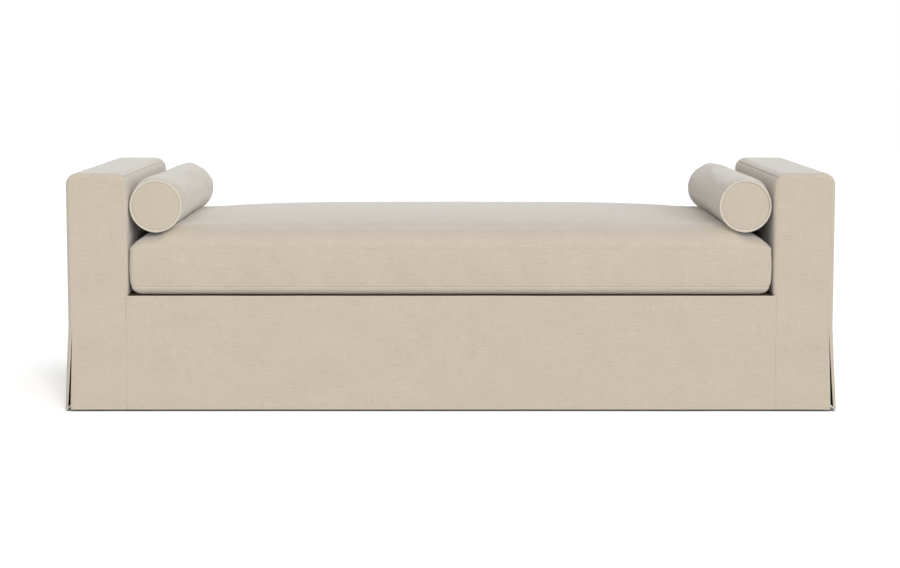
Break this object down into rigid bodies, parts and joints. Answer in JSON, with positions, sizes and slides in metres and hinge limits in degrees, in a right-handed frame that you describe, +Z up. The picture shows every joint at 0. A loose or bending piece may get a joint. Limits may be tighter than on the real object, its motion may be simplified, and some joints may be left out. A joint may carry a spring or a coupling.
{
  "type": "backless divan",
  "caption": "Backless divan with box arms, a skirted linen cover slit at the corners, one loose crowned seat cushion and two round bolsters.",
  "frame": {"origin": "on the floor, at the bottom centre of the divan", "axes": "+X along the seat towards the right arm as seen from the front, the front faces -Y, +Z up"},
  "size_m": [2.158, 0.864, 0.666],
  "materials": {
    "linen": "plain woven linen, matt",
    "linen_piping": "linen cord, matt",
    "foam": "open-cell foam",
    "fibre": "polyester fibre",
    "insulator_felt": "needled felt",
    "dust_cloth": "black spunbond cloth",
    "zip_tape": "woven tape with moulded teeth",
    "zip_metal": "dull plated metal",
    "timber": "planed hardwood",
    "plywood": "sanded plywood",
    "foot_wood": "stained hardwood",
    "spring_steel": "drawn wire",
    "zinc_steel": "zinc plated",
    "glide_plastic": "moulded plastic"
  },
  "bodies": {
    "base": {"front_rail": "timber", "back_rail": "timber", "end_rails": "timber", "centre_cross_rail": "timber", "cross_rails": "timber", "corner_blocks": "timber", "sinuous_springs": "spring_steel", "spring_clips": "zinc_steel", "spring_insulator": "insulator_felt", "deck_pad": "foam", "edge_rolls": "foam", "rail_pads": "foam", "dust_cover": "dust_cloth", "feet": "foot_wood", "foot_glides": "glide_plastic", "foot_bolts": "zinc_steel", "foot_nuts": "zinc_steel", "arm_bolts": "zinc_steel", "arm_t_nuts": "zinc_steel", "left_arm_posts": "timber", "right_arm_posts": "timber", "left_arm_top_board": "plywood", "right_arm_top_board": "plywood", "left_arm_bottom_rail": "timber", "right_arm_bottom_rail": "timber", "liner_rails": "timber", "left_arm_inner_board": "plywood", "right_arm_inner_board": "plywood", "left_arm_outer_board": "plywood", "right_arm_outer_board": "plywood", "left_arm_pad": "foam", "right_arm_pad": "foam", "arm_end_pads": "foam", "left_arm_outer_cover": "linen", "right_arm_outer_cover": "linen", "left_arm_inner_cover": "linen", "right_arm_inner_cover": "linen", "left_arm_front_panel": "linen", "right_arm_front_panel": "linen", "left_arm_back_panel": "linen", "right_arm_back_panel": "linen", "front_skirt_panel": "linen", "back_skirt_panel": "linen", "deck_cover": "linen"},
    "seat_cushion": {"seat_cover": "linen", "seat_wrap": "fibre", "seat_foam_core": "foam", "seat_zip_chain": "zip_tape"},
    "seat_zip": {"seat_zip_slider": "zip_metal"},
    "left_bolster": {"left_bolster_cover": "linen", "left_bolster_core": "fibre", "left_bolster_piping": "linen_piping", "left_bolster_zip_chain": "zip_tape"},
    "right_bolster": {"right_bolster_cover": "linen", "right_bolster_core": "fibre", "right_bolster_piping": "linen_piping", "right_bolster_zip_chain": "zip_tape"},
    "left_bolster_zip": {"left_bolster_zip_slider": "zip_metal"},
    "right_bolster_zip": {"right_bolster_zip_slider": "zip_metal"}
  },
  "joints": [
    {"name": "seat_cushion_lift", "type": "slide", "parent": "base", "child": "seat_cushion", "axis": [0, 0, 1], "range_m": [0, 0.38]},
    {"name": "seat_zip_slide", "type": "slide", "parent": "seat_cushion", "child": "seat_zip", "axis": [-1, 0, 0], "range_m": [0, 1.36]},
    {"name": "left_bolster_lift", "type": "slide", "parent": "seat_cushion", "child": "left_bolster", "axis": [0, 0, 1], "range_m": [0, 0.2]},
    {"name": "right_bolster_lift", "type": "slide", "parent": "seat_cushion", "child": "right_bolster", "axis": [0, 0, 1], "range_m": [0, 0.2]},
    {"name": "left_bolster_zip_slide", "type": "slide", "parent": "left_bolster", "child": "left_bolster_zip", "axis": [0, -1, 0], "range_m": [0, 0.58]},
    {"name": "right_bolster_zip_slide", "type": "slide", "parent": "right_bolster", "child": "right_bolster_zip", "axis": [0, -1, 0], "range_m": [0, 0.58]}
  ]
}
